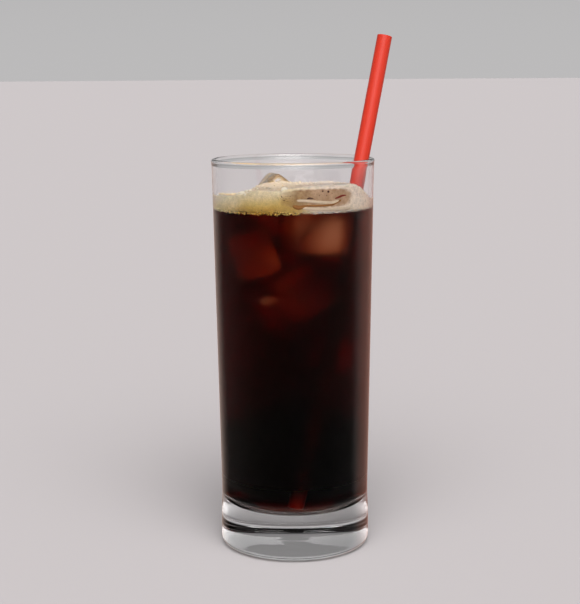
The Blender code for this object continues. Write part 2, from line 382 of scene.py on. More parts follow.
# %% [markdown]
# Clear glass bends light by its index of refraction, and throws a few hundredths of it back. Where
# coffee wets the inside, the step from glass to liquid is small and almost nothing is thrown back.
# So the wetted part of the inside has a second finish, with its reflection turned down. Patterns
# read Object coordinates, which are metres in the glass's own frame, so their scale is a real one.

# %% Glass finish
def object_place(tree):
    """Where a shaded point is, in metres in the glass's own frame."""
    return add_node(tree, "ShaderNodeTexCoord").outputs["Object"]


def noise_at(tree, place, scale, detail, roughness=0.5):
    return add_node(tree, "ShaderNodeTexNoise", Vector=place, Scale=scale, Detail=detail,
                    Roughness=roughness).outputs[0]


def bump(tree, height, strength, distance):
    """A surface direction that follows the ups and downs of a pattern."""
    return add_node(tree, "ShaderNodeBump", Height=height, Strength=strength, Distance=distance).outputs[0]


def clear_glass(name, reflection):
    """Clear pressed glass with the faintest waviness."""
    material, tree, shader = new_material(name)
    stretched = add_node(tree, "ShaderNodeMapping", Vector=object_place(tree), Scale=(1.0, 1.0, 0.35))
    wave = noise_at(tree, stretched, 90.0, 1.0)
    set_shader(shader, Base_Color=(0.992, 0.987, 0.987), Roughness=0.0, IOR=1.51, Transmission_Weight=1.0,
               Specular_Tint=[reflection] * 3, Normal=bump(tree, wave, 0.06, 0.0006))
    return material


dry_glass = clear_glass("clear glass", 1.0)
wet_glass = clear_glass("wetted glass", 0.05)
print("glass finishes:", dry_glass.name, "and", wet_glass.name)

# %% [markdown]
# Now the outline goes on the lathe. A circle of 192 steps is so fine that no flat shows, even in
# the highlights. Then each face that looks inwards, below the coffee's level, gets the wet finish.

# %% Turning the glass
GLASS_SEGMENTS = 192


def is_wetted(face):
    """Whether a face is on the inside, where the coffee touches it."""
    x, y, z = face.center
    looks_in = face.normal.dot((x, y, 0.0)) <= 0.0
    on_inside = math.hypot(x, y) < inner_radius(max(z, FLOOR_Z + FLOOR_CORNER_RADIUS)) + 0.1 * MM
    return FLOOR_Z - MM < z < COFFEE_LEVEL and looks_in and on_inside


glass = turned("tumbler", glass_outline(), GLASS_SEGMENTS, dry_glass)
glass.data.materials.append(wet_glass)
for face in glass.data.polygons:
    if is_wetted(face):
        face.material_index = 1
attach(glass, "root")
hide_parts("glass")
print("glass faces", len(glass.data.polygons), "wetted", sum(f.material_index for f in glass.data.polygons))

# %% [markdown]
# Ice cubes from a tray melt unevenly: corners go first, faces dish, and fine hollows form. A cube
# is drawn onto a superellipsoid, which rounds its edges, and a soft wave and noise hollow its faces.
# Points that would reach past the wall are drawn in to it, as a cube melts flat where it leans.

# %% Ice shape
ICE_SQUARENESS = 6.0
ICE_MELT = 0.014
ICE_CUTS = 23
DIMPLE = 0.00025
ICE_TO_WALL = 0.0005


def worn_point(x, y, z):
    """Moves a point of a cube of half size 1 onto the rounded, slightly hollowed form."""
    power = abs(x) ** ICE_SQUARENESS + abs(y) ** ICE_SQUARENESS + abs(z) ** ICE_SQUARENESS
    reach = power ** (-1.0 / ICE_SQUARENESS)
    hollow = math.sin(3.1 * x + 1.3) * math.cos(2.3 * y + 1.7 * z - 0.6)
    return Vector((x, y, z)) * reach * (1.0 + ICE_MELT * hollow)


def turn_matrix(centre, turn):
    x_turn, y_turn, z_turn = (math.radians(angle) for angle in turn)
    turned_by = Matrix.Rotation(z_turn, 4, "Z") @ Matrix.Rotation(y_turn, 4, "Y")
    return Matrix.Translation(centre) @ turned_by @ Matrix.Rotation(x_turn, 4, "X")


def ice_mesh(name, half, centre, turn, grow_by=0.0):
    shape = bmesh.new()
    bmesh.ops.create_cube(shape, size=2.0)
    bmesh.ops.subdivide_edges(shape, edges=shape.edges[:], cuts=ICE_CUTS, use_grid_fill=True)
    place = turn_matrix(centre, turn)
    for vert in shape.verts:
        worn = worn_point(*vert.co)
        dimple = DIMPLE * noise.noise(worn * 4.0 + Vector(centre) * 1000.0)
        sized = [along * (size + grow_by + dimple) for along, size in zip(worn, half)]
        x, y, z = place @ Vector(sized)
        squeeze = min(1.0, (inner_radius(z) - ICE_TO_WALL + grow_by) / math.hypot(x, y))
        vert.co = (x * squeeze, y * squeeze, z)
    mesh = as_mesh(shape, name)
    mesh.shade_smooth()
    return mesh


# %% [markdown]
# Two cubes break the surface and keep the solids' places. The rest are sunk. Clear ice shortens the
# way that light travels through the coffee, so where cubes line up with the eye the drink glows:
# amber through three in a row, dull red through one or two. Each cube is given by half its size, its
# centre and its turns, and none touches another.

# %% Ice cubes
def round_the_axis(reach, azimuth, z):
    """A place at a distance from the axis; azimuth 0 is the front, and positive is to the right."""
    angle = math.radians(azimuth)
    return (reach * math.sin(angle), -reach * math.cos(angle), z)


CUBES = {
    "ice_tip": ((0.0122, 0.0113, 0.0093), (-0.0051, 0.0066, 0.1401), (-4.5, 42.1, 7.9)),
    "ice_front": ((0.0120, 0.0100, 0.0132), round_the_axis(0.0198, 27.0, 0.1359), (0.0, 6.0, 27.0)),
    "ice_sunk_right": ((0.0075, 0.0075, 0.0092), (0.0115, 0.0042, 0.1274), (-1.4, 40.9, 7.7)),
    "ice_sunk_corner": ((0.0068, 0.0065, 0.0104), (0.0112, 0.0193, 0.1261), (-1.2, 7.9, 12.2)),
    "ice_sunk_behind": ((0.0074, 0.0056, 0.0102), (-0.0044, 0.0239, 0.1265), (-5.8, 6.9, -0.4)),
    "ice_sunk_left": ((0.0089, 0.0087, 0.0100), (-0.0137, -0.0134, 0.1230), (-6.2, -19.5, -8.0)),
    "ice_sunk_back": ((0.0091, 0.0087, 0.0079), (-0.0047, 0.0044, 0.1156), (30.4, -53.7, 6.4)),
    "ice_sunk_low": ((0.0081, 0.0106, 0.0106), (0.0038, -0.0169, 0.1081), (-34.4, -9.5, 58.1)),
    "ice_sunk_far": ((0.0072, 0.0070, 0.0075), (0.0118, 0.0060, 0.0790), (-8.0, 10.0, -15.0)),
    "ice_sunk_deep": ((0.0058, 0.0106, 0.0106), (-0.0050, 0.0158, 0.0962), (24.1, -19.7, 11.5)),
}


def ice_finish(name, tint, reflection, roughness, dent_depth):
    material, tree, shader = new_material(name)
    dents = noise_at(tree, object_place(tree), 450.0, 3.0)
    set_shader(shader, Base_Color=tint, Roughness=roughness, IOR=1.31, Transmission_Weight=1.0,
               Specular_Tint=[reflection] * 3, Normal=bump(tree, dents, 0.25, dent_depth))
    return material


dry_ice = ice_finish("ice in air", (0.92, 0.87, 0.84), 1.0, 0.09, 0.0030)
wet_ice = ice_finish("ice under coffee", (1.0, 0.995, 0.985), 0.05, 0.08, 0.0006)

for name, size_and_place in CUBES.items():
    cube = new_object(name, ice_mesh(name, *size_and_place))
    cube.data.materials.append(dry_ice)
    cube.data.materials.append(wet_ice)
    for face in cube.data.polygons:
        face.material_index = int(face.center.z < COFFEE_LEVEL)
    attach(cube, "root")
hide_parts("ice_left")
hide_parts("ice_right")

# %% [markdown]
# Ice from a tray is clear at its faces and cloudy at its heart, where the freezing water left its
# air as tiny bubbles. Only two such hearts can be seen: the cube that stands out of the foam is
# milky inside, and a small cloud close to the wall is the pink highlight in the coffee. A tree turns
# a hidden hull into a volume, fills it with points and sets a bubble of uneven size on each.

# %% Air in the ice
CLOUD_VOXEL = 0.0004
AIR_SMALLEST = 0.00005
AIR_LARGEST = 0.00016
HEARTS = {
    "air_in_ice_tip": ((0.0095, 0.0085, 0.0075), *CUBES["ice_tip"][1:], 2.2e9),
    "air_in_ice_sunk_low": ((0.0046, 0.0018, 0.0025), (-0.0091, -0.0228, 0.1056), (0.0, 0.0, 21.0), 16.0e9),
}


def bubble_tree(name, subdivisions, scatter):
    """A tree that scatters points in or on a mesh and sets a bubble of uneven size on each."""
    tree, given, end = new_tree(name, Density="Float", Seed="Int", Smallest="Float", Largest="Float",
                                Material="Material")
    bubble = add_node(tree, "GeometryNodeMeshIcoSphere", Radius=1.0, Subdivisions=subdivisions)
    size = add_node(tree, "FunctionNodeRandomValue", {"data_type": "FLOAT"}, Seed=given["Seed"],
                    i2=given["Smallest"], i3=given["Largest"])
    placed = add_node(tree, "GeometryNodeInstanceOnPoints", Points=scatter(tree, given),
                      Instance=bubble, Scale=size.outputs[1])
    real = add_node(tree, "GeometryNodeRealizeInstances", Geometry=placed)
    end_tree(tree, end, real, given["Material"])
    return tree


def through_volume(tree, given):
    hull = add_node(tree, "GeometryNodeMeshToVolume", {"resolution_mode": "VOXEL_SIZE"},
                    Mesh=given["Geometry"], Voxel_Size=CLOUD_VOXEL)
    return add_node(tree, "GeometryNodeDistributePointsInVolume", {"mode": "DENSITY_RANDOM"}, Volume=hull,
                    Density=given["Density"], Seed=given["Seed"])


def air_finish():
    """Tiny bubbles of air, so many that the cloud looks white."""
    material, tree, shader = new_material("air in ice")
    patchy = noise_at(tree, object_place(tree), 260.0, 1.0)
    colour = blend(tree, patchy, (0.62, 0.63, 0.64), (0.88, 0.88, 0.88))
    set_shader(shader, Base_Color=colour, Roughness=0.35, IOR=1.31)
    return material


cloud = bubble_tree("cloud of bubbles", 1, through_volume)
air_white = air_finish()
for seed, (name, (half, centre, turn, density)) in enumerate(HEARTS.items()):
    shape = bmesh.new()
    bmesh.ops.create_icosphere(shape, subdivisions=3, radius=1.0)
    place = turn_matrix(centre, turn) @ Matrix.Diagonal((*half, 1.0))
    bmesh.ops.transform(shape, matrix=place, verts=shape.verts[:])
    heart = grow(name, as_mesh(shape, "hull"), cloud, Density=density, Seed=seed,
                 Smallest=AIR_SMALLEST, Largest=AIR_LARGEST, Material=air_white)
    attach(heart, "root")
    print(heart.name, len(heart.data.polygons), "faces")

# %% [markdown]
# The straw is one thin tube of red plastic, extruded and cut square. It stands on the floor of the
# glass at the front and leans on the rim at the right. Under the foam its red is darkened by painted
# shade, most deeply in the middle. Only its foot keeps its full red.

# %% Straw
STRAW_RADIUS = 0.0030
STRAW_WALL = 0.0003
STRAW_LIP = 0.0001
STRAW_LENGTH = 0.1935
STRAW_FOOT = (0.00025, -0.0215, 0.0205)
STRAW_AT_RIM = (0.02778, -0.0010, 0.160)
STRAW_SEGMENTS = 64
PALE_RED = (0.47, 0.032, 0.015)
FULL_RED = (0.42, 0.024, 0.011)
# Painted shade on the straw under the foam: a duller red just under the foam, near black deeper down.
PAINTED_SHADE_RED = (0.30, 0.040, 0.022)
DEEP_PAINTED_SHADE_RED = (0.030, 0.006, 0.004)
PAINTED_SHADE_STARTS = (0.0170, 0.0300)
PAINTED_SHADE_ENDS = (0.144, 0.134)
PAINTED_SHADE_LIGHTENS = (0.100, 0.136)


def straw_matrix():
    foot = Vector(STRAW_FOOT)
    axis = (Vector(STRAW_AT_RIM) - foot).normalized()
    lean = Vector((0.0, 0.0, 1.0)).rotation_difference(axis).to_matrix().to_4x4()
    return Matrix.Translation(foot) @ lean


def tube_outline(inner, outer, low, high):
    """Down the outside, under, up the inside and back over the top, with softened lips."""
    lip = STRAW_LIP
    return [(outer, high - lip), (outer, low + lip), (outer - lip, low), (inner + lip, low),
            (inner, low + lip), (inner, high - lip), (inner + lip, high), (outer - lip, high),
            (outer, high - lip)]


def red_plastic():
    material, tree, shader = new_material("red straw plastic")
    place = object_place(tree)
    streaks = add_node(tree, "ShaderNodeMapping", Vector=place, Scale=(1.0, 1.0, 0.04))
    grain = noise_at(tree, streaks, 1400.0, 2.0)
    height = split(tree, place)[2]
    # Painted shade: the straw is darkened between its foot and the foam, most of all in the middle.
    sunk = maths(tree, "MULTIPLY", smooth_step(tree, height, *PAINTED_SHADE_STARTS),
                 smooth_step(tree, height, *PAINTED_SHADE_ENDS))
    clean = blend(tree, grain, FULL_RED, PALE_RED)
    painted_shade = blend(tree, smooth_step(tree, height, *PAINTED_SHADE_LIGHTENS), DEEP_PAINTED_SHADE_RED, PAINTED_SHADE_RED)
    set_shader(shader, Base_Color=blend(tree, sunk, clean, painted_shade), Roughness=0.36, IOR=1.46,
               Specular_IOR_Level=0.25, Subsurface_Weight=0.15, Subsurface_Radius=(0.0012, 0.0004, 0.0003),
               Subsurface_Scale=1.0, Normal=bump(tree, grain, 0.10, 0.0001))
    return material


straw = turned("drinking_straw", tube_outline(STRAW_RADIUS - STRAW_WALL, STRAW_RADIUS, 0.0, STRAW_LENGTH),
               STRAW_SEGMENTS, red_plastic())
straw.data.transform(straw_matrix())
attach(straw, "root")
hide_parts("straw")
print("straw", STRAW_LENGTH / MM, "mm long")

# %% [markdown]
# The coffee's colour isn't painted on: the liquid is clear and swallows light on the way through,
# blue first, then green, then red. Thin coffee is amber, thicker coffee red, and a glassful is
# black. Fine grounds make it a little cloudy. Some roughness on its surface stands for that and
# softens the sunk ice. It fades out at the very bottom, where the drink's foot has a clean edge.

# %% Coffee finish
COFFEE_ABSORBS = (82.0, 228.0, 335.0)
COFFEE_BLUR = 0.30
COFFEE_IOR = 1.33
COFFEE_FOOT = (0.0190, 0.0320)
FULL_LOSS = 0.95


def coffee_finish(name, absorbs, ior, blur):
    """A clear liquid that swallows light: absorbs holds the loss per metre of red, green and blue."""
    material, tree, shader = new_material(name)
    set_shader(shader, Base_Color=(1.0, 1.0, 1.0), Roughness=blur, IOR=ior,
               Transmission_Weight=1.0, Specular_Tint=(0.0, 0.0, 0.0))
    density = max(absorbs) / FULL_LOSS
    absorption = add_node(tree, "ShaderNodeVolumeAbsorption", Density=density,
                          Color=[1.0 - loss / density for loss in absorbs])
    feed(tree.nodes["Material Output"].inputs["Volume"], absorption)
    return material


coffee_material = coffee_finish("black coffee", COFFEE_ABSORBS, COFFEE_IOR, COFFEE_BLUR)
coffee_tree = coffee_material.node_tree
above_foot = smooth_step(coffee_tree, split(coffee_tree, object_place(coffee_tree))[2], *COFFEE_FOOT)
set_shader(coffee_tree.nodes["Principled BSDF"],
           Roughness=maths(coffee_tree, "MULTIPLY", above_foot, COFFEE_BLUR))
print("red light lost per metre:", COFFEE_ABSORBS[0])

# %% [markdown]
# The coffee fills the glass to its level and reaches a little into the wall, so that no film of air
# shines between them. It wraps what stands in it just as closely. The straw and the two cubes that
# break the surface are cut out with Booleans. A cube that is wholly inside needs none: its own
# faces, turned inwards, make the hollow.

# %% Pouring the coffee
WALL_BITE = 0.00015
ICE_BITE = 0.0001
LEVEL_STEPS = 8
WAY_SEGMENTS = 48
BREAKING = ("ice_tip", "ice_front")


def cut(piece, cutters):
    """Takes closed shapes out of a piece with exact Booleans, and removes them."""
    for cutter in cutters:
        boolean = piece.modifiers.new("cut", "BOOLEAN")
        boolean.operation = "DIFFERENCE"
        boolean.solver = "EXACT"
        boolean.object = cutter
    take_result(piece)
    for cutter in cutters:
        bpy.data.objects.remove(cutter)


def hollow_out(piece, meshes):
    """Leaves a hollow for each shape that is wholly inside the piece: its faces, turned inwards."""
    shape = bmesh.new()
    shape.from_mesh(piece.data)
    for mesh in meshes:
        kept = len(shape.faces)
        shape.from_mesh(mesh)
        bmesh.ops.reverse_faces(shape, faces=shape.faces[kept:])
    shape.to_mesh(piece.data)
    shape.free()
    piece.data.set_sharp_from_angle(angle=SHARP_ANGLE)


side = inside_outline(-WALL_BITE, COFFEE_LEVEL)
side[0] = (0.0, side[0][1])
level = [(side[-1][0] * step / LEVEL_STEPS, COFFEE_LEVEL) for step in range(LEVEL_STEPS)]
coffee = turned("black_coffee", level + list(reversed(side)), GLASS_SEGMENTS, coffee_material)
hollows = {name: ice_mesh("hollow", *size_and_place, grow_by=-ICE_BITE)
           for name, size_and_place in CUBES.items()}
way_outline = tube_outline(STRAW_RADIUS - STRAW_WALL + ICE_BITE / 2, STRAW_RADIUS - ICE_BITE / 2,
                           -ICE_BITE, STRAW_LENGTH)
straw_way = turned("straw_way", way_outline, WAY_SEGMENTS, coffee_material)
straw_way.data.transform(straw_matrix())
cut(coffee, [new_object("hollow", hollows.pop(name)) for name in BREAKING] + [straw_way])
hollow_out(coffee, hollows.values())
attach(coffee, "root")
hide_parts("coffee")
print("coffee faces", len(coffee.data.polygons))

# %% [markdown]
# Melting ice waters the coffee down at the top, so the drink is strongest at the bottom. Bodies
# inside the first add the missing strength in two steps. They bend no light, because their index is
# 1, and they narrow upwards like a bullet, so that the drink darkens gradually and has no edge.

# %% Strong coffee at the bottom
STRONG_STEPS = 24
STRONG_SEGMENTS = 96
STRONG_BODIES = {
    "strong_coffee": (0.0003, 0.037, 0.066, (70.0, 165.0, 215.0)),
    "middling_coffee": (0.0006, 0.045, 0.095, (12.0, 29.0, 37.0)),
}


def bullet(gap, straight_top, top):
    """Round the floor of the glass, straight up its side, and then in to a point on the axis."""
    points = inside_outline(gap, straight_top)
    points[0] = (0.0, points[0][1])
    radius = points[-1][0]
    for step in range(1, STRONG_STEPS):
        share = step / STRONG_STEPS
        points.append((radius * math.cos(share * math.pi / 2), straight_top + (top - straight_top) * share))
    points.append((0.0, top))
    return list(reversed(points))


for name, (gap, straight_top, top, absorbs) in STRONG_BODIES.items():
    finish = coffee_finish(name.replace("_", " "), absorbs, 1.0, 0.0)
    strong = turned(name, bullet(gap, straight_top, top), STRONG_SEGMENTS, finish)
    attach(strong, "root")
    print(name, "reaches up to", round(top / MM), "mm")

# %% [markdown]
# The foam is what shaking leaves on top: fine bubbles, tan where coffee clings between them. Its
# solid has the right outer form, so a copy of it is welded, remeshed evenly, swollen by the gap
# that the solids keep, and pressed just into the glass, most of all at its foot, where it meets the
# coffee. A dip at the left lets the slope run down as the real one does.

# %% Foam
FOAM_VOXEL = 0.0004
SOLID_GAP = 0.0003
FOAM_SKIN = 0.00008
FINE_RELIEF = (0.00006, 1500.0)
COARSE_RELIEF = (0.00010, 420.0)
WALL_PRESSED = 0.0004
FOOT_PRESSED = 0.0013
FOOT_HEIGHT = 0.0007
FOAM_DIP = 0.0022
FOAM_DIP_PLACE = (-0.0165, -0.0020)
FOAM_DIP_REACH = 0.0065
FOAM_DIP_FROM = 0.0015
FOAM_DIP_OVER = 0.0060


def relief(place, height_and_scale):
    height, scale = height_and_scale
    return height * noise.noise(place * scale)


def swell_and_press(mesh):
    normals = [vert.normal.copy() for vert in mesh.vertices]
    for vert, normal in zip(mesh.vertices, normals):
        bubbly = relief(vert.co, FINE_RELIEF) + relief(vert.co, COARSE_RELIEF)
        vert.co += normal * (SOLID_GAP + FOAM_SKIN + bubbly)
        x, y, z = vert.co
        radius = math.hypot(x, y)
        pressed_depth = FOOT_PRESSED if z < COFFEE_LEVEL + FOOT_HEIGHT else WALL_PRESSED
        if radius > inner_radius(z) - pressed_depth:
            reach = (inner_radius(z) + WALL_BITE) / radius
            vert.co.x, vert.co.y = x * reach, y * reach


def dip(mesh):
    for vert in mesh.vertices:
        x, y, z = vert.co
        near = math.hypot(x - FOAM_DIP_PLACE[0], y - FOAM_DIP_PLACE[1]) / FOAM_DIP_REACH
        height = max(0.0, (z - COFFEE_LEVEL - FOAM_DIP_FROM) / FOAM_DIP_OVER)
        vert.co.z -= FOAM_DIP * math.exp(-near * near) * min(1.0, height)


foam_shape = bmesh.new()
foam_shape.from_mesh(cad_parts["foam"].data)
bmesh.ops.remove_doubles(foam_shape, verts=foam_shape.verts[:], dist=0.02 * MM)
foam = new_object("coffee_foam", as_mesh(foam_shape, "foam"))
remesh = foam.modifiers.new("even", "REMESH")
remesh.mode = "VOXEL"
remesh.voxel_size = FOAM_VOXEL
soften = foam.modifiers.new("soften", "SMOOTH")
soften.iterations = 3
take_result(foam)
swell_and_press(foam.data)
foam.data.shade_smooth()
dip(foam.data)
print("foam faces", len(foam.data.polygons))

# %% [markdown]
# The foam's colour changes from place to place: brown-yellow at its foot on the left, where coffee
# still drains out of it, paler up the slope, and pinkish on the right. Pressed against glass a matt
# surface looks darker than in air, because light is caught between the two, so what touches the wall
# is painted paler, on the right and at the far left: painted light that makes up for that shade.
# Everything made of foam shares this one pattern of colour.

# %% Foam colour
FOAM_FOOT = 0.1400
FOAM_CROWN = 0.1500
# The pressed colours are partly the foam's own and partly painted light: paler than the dome's on the right
# and at the far left, to make up for shade at the wall.
PRESSED_LEFT = {0.10: (0.47, 0.27, 0.055), 0.30: (0.57, 0.39, 0.12), 0.50: (0.68, 0.53, 0.25),
                0.80: (0.79, 0.68, 0.47)}
PRESSED_FAR_LEFT = {0.10: (0.93, 0.80, 0.48), 0.45: (0.97, 0.90, 0.74)}
PRESSED_RIGHT = {0.10: (0.84, 0.70, 0.56), 0.45: (0.89, 0.76, 0.63)}
DOME_LEFT = {0.35: (0.66, 0.48, 0.24), 0.80: (0.80, 0.64, 0.42), 1.00: (0.62, 0.50, 0.36)}
DOME_RIGHT = {0.35: (0.76, 0.64, 0.52), 0.90: (0.60, 0.50, 0.41)}
SOAKED = (0.52, 0.345, 0.105)
SOAKED_PLACE = 0.0060
SOAKED_REACH = 0.0105
RIGHT_SIDE = (0.004, 0.020)
FAR_LEFT = (-0.006, -0.028)
AT_WALL = (0.0296, 0.0303)


def ramp(tree, value, stops):
    """A colour that goes through the given stops as the value rises from 0 to 1."""
    node = add_node(tree, "ShaderNodeValToRGB", Fac=value)
    elements = node.color_ramp.elements
    while len(elements) < len(stops):
        elements.new(0.5)
    for element, (position, colour) in zip(elements, stops.items()):
        element.position = position
        element.color = (*colour, 1.0)
    return node.outputs[0]


def foam_colour(tree, place):
    x, y, z = split(tree, place)
    drift = noise_at(tree, place, 110.0, 2.0)
    wander = maths(tree, "MULTIPLY_ADD", drift, 0.016, x)
    uneven = maths(tree, "MULTIPLY_ADD", drift, 0.002, z)
    height = rescale(tree, uneven, FOAM_FOOT + MM, FOAM_CROWN + MM)
    right = smooth_step(tree, wander, *RIGHT_SIDE)
    far_left = smooth_step(tree, wander, *FAR_LEFT)
    pressed = blend(tree, far_left, ramp(tree, height, PRESSED_LEFT), ramp(tree, height, PRESSED_FAR_LEFT))
    pressed = blend(tree, right, pressed, ramp(tree, height, PRESSED_RIGHT))
    aside = maths(tree, "ABSOLUTE", maths(tree, "SUBTRACT", wander, SOAKED_PLACE))
    soaked = maths(tree, "MULTIPLY", smooth_step(tree, aside, SOAKED_REACH, MM),
                   smooth_step(tree, height, 0.85, 0.45))
    pressed = blend(tree, soaked, pressed, SOAKED)
    dome = blend(tree, right, ramp(tree, height, DOME_LEFT), ramp(tree, height, DOME_RIGHT))
    across = maths(tree, "SQRT", maths(tree, "MULTIPLY_ADD", x, x, maths(tree, "MULTIPLY", y, y)))
    # Painted light: where the foam touches the wall it takes the paler pressed colours.
    at_wall = smooth_step(tree, across, *AT_WALL)
    clumps = rescale(tree, noise_at(tree, place, 750.0, 3.0, 0.6), 0.3, 0.7, 0.87, 1.15)
    return blend(tree, 1.0, blend(tree, at_wall, dome, pressed), clumps, "MULTIPLY")


# %% [markdown]
# Close up, foam is a mesh of cells. A Voronoi pattern darkens the seams between them and dents the
# surface, and a little subsurface light softens it. It hardly shines, since every bubble scatters.

# %% Foam finish
FOAM_CELLS = 1300.0
FOAM_BODY = {"IOR": 1.33, "Specular_IOR_Level": 0.1, "Subsurface_Weight": 0.25,
             "Subsurface_Radius": (0.0020, 0.0012, 0.0007), "Subsurface_Scale": 1.0}


def foam_finish(name, roughness, seam_tone):
    material, tree, shader = new_material(name)
    place = object_place(tree)
    from_seam = add_node(tree, "ShaderNodeTexVoronoi", {"feature": "DISTANCE_TO_EDGE"}, Vector=place,
                         Scale=FOAM_CELLS).outputs["Distance"]
    seams = rescale(tree, from_seam, 0.0, 0.12, seam_tone, 1.0)
    colour = blend(tree, 1.0, foam_colour(tree, place), seams, "MULTIPLY")
    set_shader(shader, Base_Color=colour, Roughness=roughness, Normal=bump(tree, from_seam, 0.35, 0.0003),
               **FOAM_BODY)
    return material


foam.data.materials.append(foam_finish("tan foam", 0.55, 0.82))
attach(foam, "root")
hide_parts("foam")
print("foam cells about", round(1000.0 / FOAM_CELLS, 2), "mm across")

# %% [markdown]
# Larger bubbles gather where foam meets coffee along the wall and stay scattered on top. The tree
# that made the clouds of air serves again, but it now spreads its points over a surface: a narrow
# band round the wall for the collar, and the top faces of the foam for the scattered ones.

# %% Larger bubbles
COLLAR_LOW = COFFEE_LEVEL - 0.00055
COLLAR_HIGH = COFFEE_LEVEL + 0.00025
COLLAR_STEPS = 144
COLLAR_SINK = 0.00005
LEAST_UP = 0.2


def over_faces(tree, given):
    return add_node(tree, "GeometryNodeDistributePointsOnFaces", Mesh=given["Geometry"],
                    Density=given["Density"], Seed=given["Seed"])


def wall_band(low, high, steps):
    """A narrow band of faces on the inside of the glass."""
    shape = bmesh.new()
    rings = []
    for z in (low, high):
        reach = inner_radius(z) - COLLAR_SINK
        rings.append([shape.verts.new(round_the_axis(reach, 360 * i / steps, z)) for i in range(steps)])
    for i in range(steps):
        j = (i + 1) % steps
        shape.faces.new((rings[0][i], rings[0][j], rings[1][j], rings[1][i]))
    return as_mesh(shape, "band")


def top_faces(mesh):
    """A copy of the faces that look up."""
    shape = bmesh.new()
    shape.from_mesh(mesh)
    away = [face for face in shape.faces
            if face.normal.z < LEAST_UP or face.calc_center_median().z < COFFEE_LEVEL + MM]
    bmesh.ops.delete(shape, geom=away, context="FACES")
    return as_mesh(shape, "top")


froth = bubble_tree("bubbles on a surface", 2, over_faces)
bubble_skin = foam_finish("foam bubbles", 0.30, 0.95)
collar = grow("bubble_collar", wall_band(COLLAR_LOW, COLLAR_HIGH, COLLAR_STEPS), froth, Density=9.0e6, Seed=3,
              Smallest=0.00008, Largest=0.00034, Material=bubble_skin)
scattered = grow("bubbles_on_foam", top_faces(foam.data), froth, Density=0.10e6, Seed=5,
                 Smallest=0.00015, Largest=0.00050, Material=bubble_skin)
for piece in (collar, scattered):
    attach(piece, "root")
    print(piece.name, len(piece.data.polygons), "faces")

# %% [markdown]
# Where the front cube presses on the glass, the foam is squeezed to a thin brown-grey film. It is a
# curved patch on the wall with a rounded outline: a grid of points, packed closer towards the edge,
# with a front and a back layer. Each point stores how near it is to the outline, for the finish.

# %% Film over the front cube
FILM_AZIMUTH = 19.0
FILM_HALF_AZIMUTH = 31.0
FILM_MIDDLE = 0.1463
FILM_HALF_HEIGHT = 0.0043
FILM_CORNERS = 3.2
FILM_FRONT = -0.00020
FILM_BACK = 0.00040
FILM_COLUMNS = 72
FILM_ROWS = 24


def on_the_wall(azimuth, z, depth):
    """A point at a depth behind the inside of the glass."""
    return round_the_axis(inner_radius(z) - depth, azimuth, z)


def film_layer(shape, nearness, depth):
    """One grid of points; u and v run from -1 to 1 across and up the patch."""
    grid = []
    for j in range(FILM_ROWS + 1):
        row = []
        for i in range(FILM_COLUMNS + 1):
            u = math.sin(math.pi / 2 * (2 * i / FILM_COLUMNS - 1))
            v = math.sin(math.pi / 2 * (2 * j / FILM_ROWS - 1))
            tall = (1.0 - abs(u) ** FILM_CORNERS) ** (1.0 / FILM_CORNERS)
            z = FILM_MIDDLE + FILM_HALF_HEIGHT * tall * v
            vert = shape.verts.new(on_the_wall(FILM_AZIMUTH + FILM_HALF_AZIMUTH * u, z, depth))
            vert[nearness] = (abs(u) ** FILM_CORNERS + abs(tall * v) ** FILM_CORNERS) ** (1.0 / FILM_CORNERS)
            row.append(vert)
        grid.append(row)
    return grid


def film_mesh():
    shape = bmesh.new()
    nearness = shape.verts.layers.float.new("edge")
    outer, inner = (film_layer(shape, nearness, depth) for depth in (FILM_FRONT, FILM_BACK))
    for j in range(FILM_ROWS):
        for i in range(FILM_COLUMNS):
            shape.faces.new((outer[j][i], outer[j][i + 1], outer[j + 1][i + 1], outer[j + 1][i]))
            shape.faces.new((inner[j][i], inner[j + 1][i], inner[j + 1][i + 1], inner[j][i + 1]))
    for i in range(FILM_COLUMNS):
        shape.faces.new((outer[0][i], inner[0][i], inner[0][i + 1], outer[0][i + 1]))
        shape.faces.new((outer[-1][i], outer[-1][i + 1], inner[-1][i + 1], inner[-1][i]))
    bmesh.ops.remove_doubles(shape, verts=shape.verts[:], dist=0.004 * MM)
    bmesh.ops.holes_fill(shape, edges=[edge for edge in shape.edges if edge.is_boundary])
    bmesh.ops.recalc_face_normals(shape, faces=shape.faces[:])
    return as_mesh(shape, "film")


film = new_object("pressed_foam_film", film_mesh())
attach(film, "root")
print("film faces", len(film.data.polygons))

# %% [markdown]
# The film is mottled, browner at its left end, where it thins out into the soaked foam. Towards the
# stored outline its colour turns into the foam's own, along a ragged line, so the patch has no
# visible edge.

# %% Film finish
FILM_DARK = (0.39, 0.25, 0.15)
FILM_LIGHT = (0.56, 0.38, 0.25)
FILM_DARK_LEFT = (0.25, 0.14, 0.06)
FILM_LIGHT_LEFT = (0.46, 0.30, 0.15)


def film_finish():
    material, tree, shader = new_material("foam film on ice")
    place = object_place(tree)
    mottle = noise_at(tree, place, 520.0, 4.0, 0.65)
    pale = rescale(tree, mottle, 0.36, 0.66)
    x = split(tree, place)[0]
    right = smooth_step(tree, x, 0.000, 0.010)
    dark = blend(tree, right, FILM_DARK_LEFT, FILM_DARK)
    light = blend(tree, right, FILM_LIGHT_LEFT, FILM_LIGHT)
    edge = add_node(tree, "ShaderNodeAttribute", {"attribute_name": "edge"}).outputs["Fac"]
    ragged = maths(tree, "MULTIPLY_ADD", mottle, 0.25, edge)
    thin_left = maths(tree, "MULTIPLY", smooth_step(tree, x, 0.004, -0.007), 0.85)
    foamy = maths(tree, "MAXIMUM", smooth_step(tree, ragged, 0.86, 1.08), thin_left)
    colour = blend(tree, foamy, blend(tree, pale, dark, light), foam_colour(tree, place))
    set_shader(shader, Base_Color=colour, Roughness=0.55, **FOAM_BODY)
    return material


